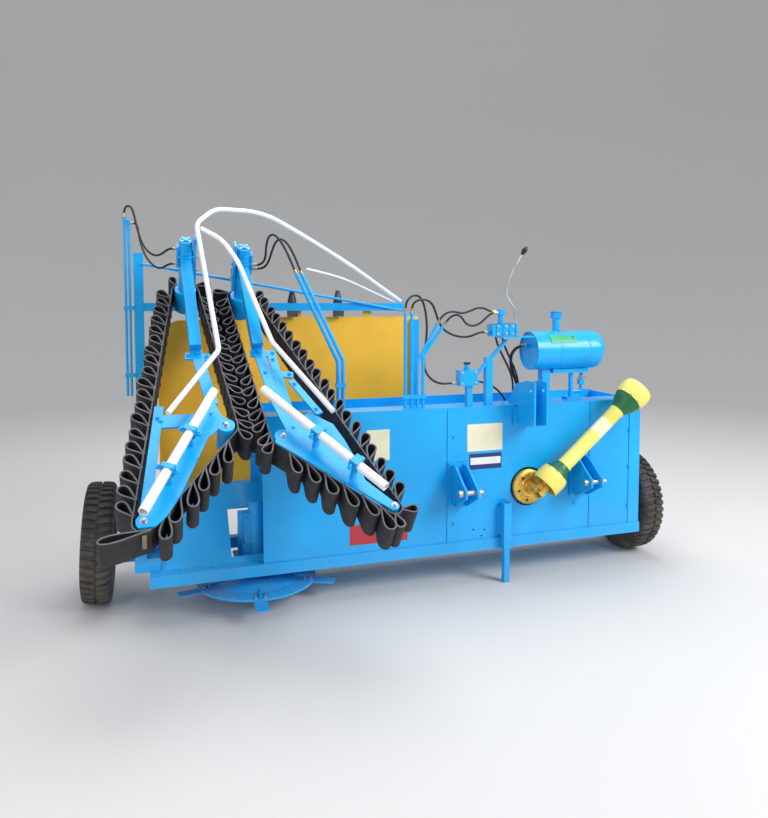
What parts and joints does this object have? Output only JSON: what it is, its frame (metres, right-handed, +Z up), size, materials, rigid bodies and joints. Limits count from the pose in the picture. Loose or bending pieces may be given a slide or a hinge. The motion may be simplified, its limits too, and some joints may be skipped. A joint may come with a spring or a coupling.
{
  "type": "sugarcane harvester",
  "caption": "Tractor-mounted side-offset whole-stalk sugarcane harvester: transverse housing on two wheels, looped rubber gathering belts, base cutter, oil tank and drive shaft",
  "frame": {"origin": "on the ground under the middle of the machine's bounding box", "axes": "+X along the transverse housing to the right as seen from the hitch side, +Y to the rear, +Z up"},
  "size_m": [3.591, 1.7976, 2.2566],
  "materials": {
    "blue_paint": "gloss",
    "yellow_paint": "gloss",
    "gatherer_rubber": "matte",
    "tyre_rubber": "matte",
    "bright_steel": "satin",
    "cast_yellow": "satin",
    "guard_plastic": "satin",
    "galvanised_pipe": "satin"
  },
  "bodies": {
    "machine": {"axle_left": "blue_paint", "axle_right": "blue_paint", "base_frame": "blue_paint", "belt_left": "gatherer_rubber", "belt_right": "gatherer_rubber", "control_lever": "blue_paint", "cutter_spindle": "blue_paint", "end_walls": "blue_paint", "front_wall": "blue_paint", "gather_frame_left": "blue_paint", "gather_frame_right": "blue_paint", "gather_motors": "blue_paint", "gearbox": "cast_yellow", "guard_arch": "galvanised_pipe", "guard_clamps": "blue_paint", "guard_pipes": "galvanised_pipe", "input_yoke": "cast_yellow", "left_pipes": "blue_paint", "leg_sleeve": "blue_paint", "lower_clevises": "blue_paint", "lower_pins": "bright_steel", "middle_pipes": "blue_paint", "oil_tank": "blue_paint", "panel_post": "blue_paint", "rear_hood": "yellow_paint", "rear_mast": "blue_paint", "rear_panel": "yellow_paint", "rear_wall": "blue_paint", "riser_pipes": "blue_paint", "stay_rod": "blue_paint", "tank_mount": "blue_paint", "throat_floor": "blue_paint", "top_deck": "blue_paint", "top_link_bracket": "blue_paint", "valve_stand": "blue_paint", "valves": "blue_paint"},
    "wheel_left": {"rim_left": "blue_paint", "tyre_left": "tyre_rubber"},
    "wheel_right": {"rim_right": "blue_paint", "tyre_right": "tyre_rubber"},
    "cutter": {"cutter_blades": "bright_steel", "cutter_disc": "blue_paint"},
    "leg": {"parking_leg": "blue_paint"},
    "drive_shaft": {"end_yoke": "cast_yellow", "shaft_guard": "guard_plastic", "shaft_joint": "cast_yellow"}
  },
  "joints": [
    {"name": "wheel_left_spin", "type": "hinge", "parent": "machine", "child": "wheel_left", "pos_m": [-1.702, 0.4, 0.33611], "axis": [0.9986, 0, -0.0523], "continuous": true},
    {"name": "wheel_right_spin", "type": "hinge", "parent": "machine", "child": "wheel_right", "pos_m": [1.712, 0.25, 0.335], "axis": [1, 0, 0], "continuous": true},
    {"name": "cutter_spin", "type": "hinge", "parent": "machine", "child": "cutter", "pos_m": [-0.848, 0.175, 0.11], "axis": [0, 0, 1], "continuous": true},
    {"name": "leg_slide", "type": "slide", "parent": "machine", "child": "leg", "axis": [0, 0, 1], "range_m": [0, 0.24]},
    {"name": "drive_shaft_fold", "type": "hinge", "parent": "machine", "child": "drive_shaft", "pos_m": [0.782, -0.18, 0.566], "axis": [0.6468, 0, -0.7627], "range_deg": [0, 75]}
  ]
}
